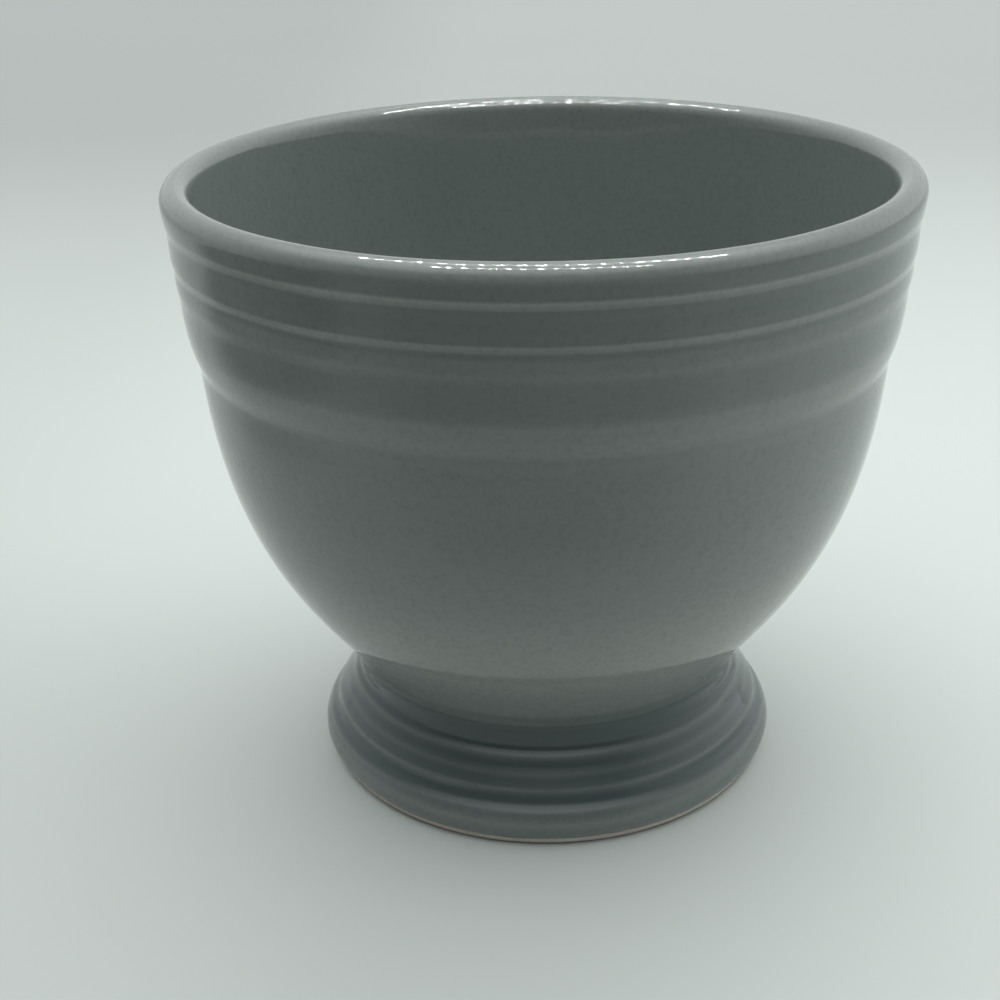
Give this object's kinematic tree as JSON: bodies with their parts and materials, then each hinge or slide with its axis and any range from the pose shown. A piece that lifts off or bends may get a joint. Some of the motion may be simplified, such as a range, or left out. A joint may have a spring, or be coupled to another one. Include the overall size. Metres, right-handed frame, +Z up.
{
  "type": "egg cup",
  "caption": "Footed egg cup: a deep round bowl with shallow rings under its rounded lip, on a narrow neck and a flared, ringed, hollow foot.",
  "frame": {"origin": "middle of the standing ring's face, on the surface that the cup stands on", "axes": "+Z up along the cup's axis of symmetry, out of the mouth; X and Y are alike"},
  "size_m": [0.092, 0.092, 0.079],
  "materials": {
    "clay": "fired cream earthenware, bare and slightly rough where it shows on the standing ring",
    "slip": "fired slip, hidden inside the seam",
    "glaze": "glossy grey-turquoise glaze, a little lighter where it thins over edges and darker where it pools",
    "glaze_inside_foot": "the same glaze, less even, inside the hollow foot"
  },
  "bodies": {
    "root": {"bowl": "clay", "foot": "clay", "slip_joint": "slip", "glaze_coat": "glaze", "glaze_under_foot": "glaze_inside_foot"}
  },
  "joints": []
}
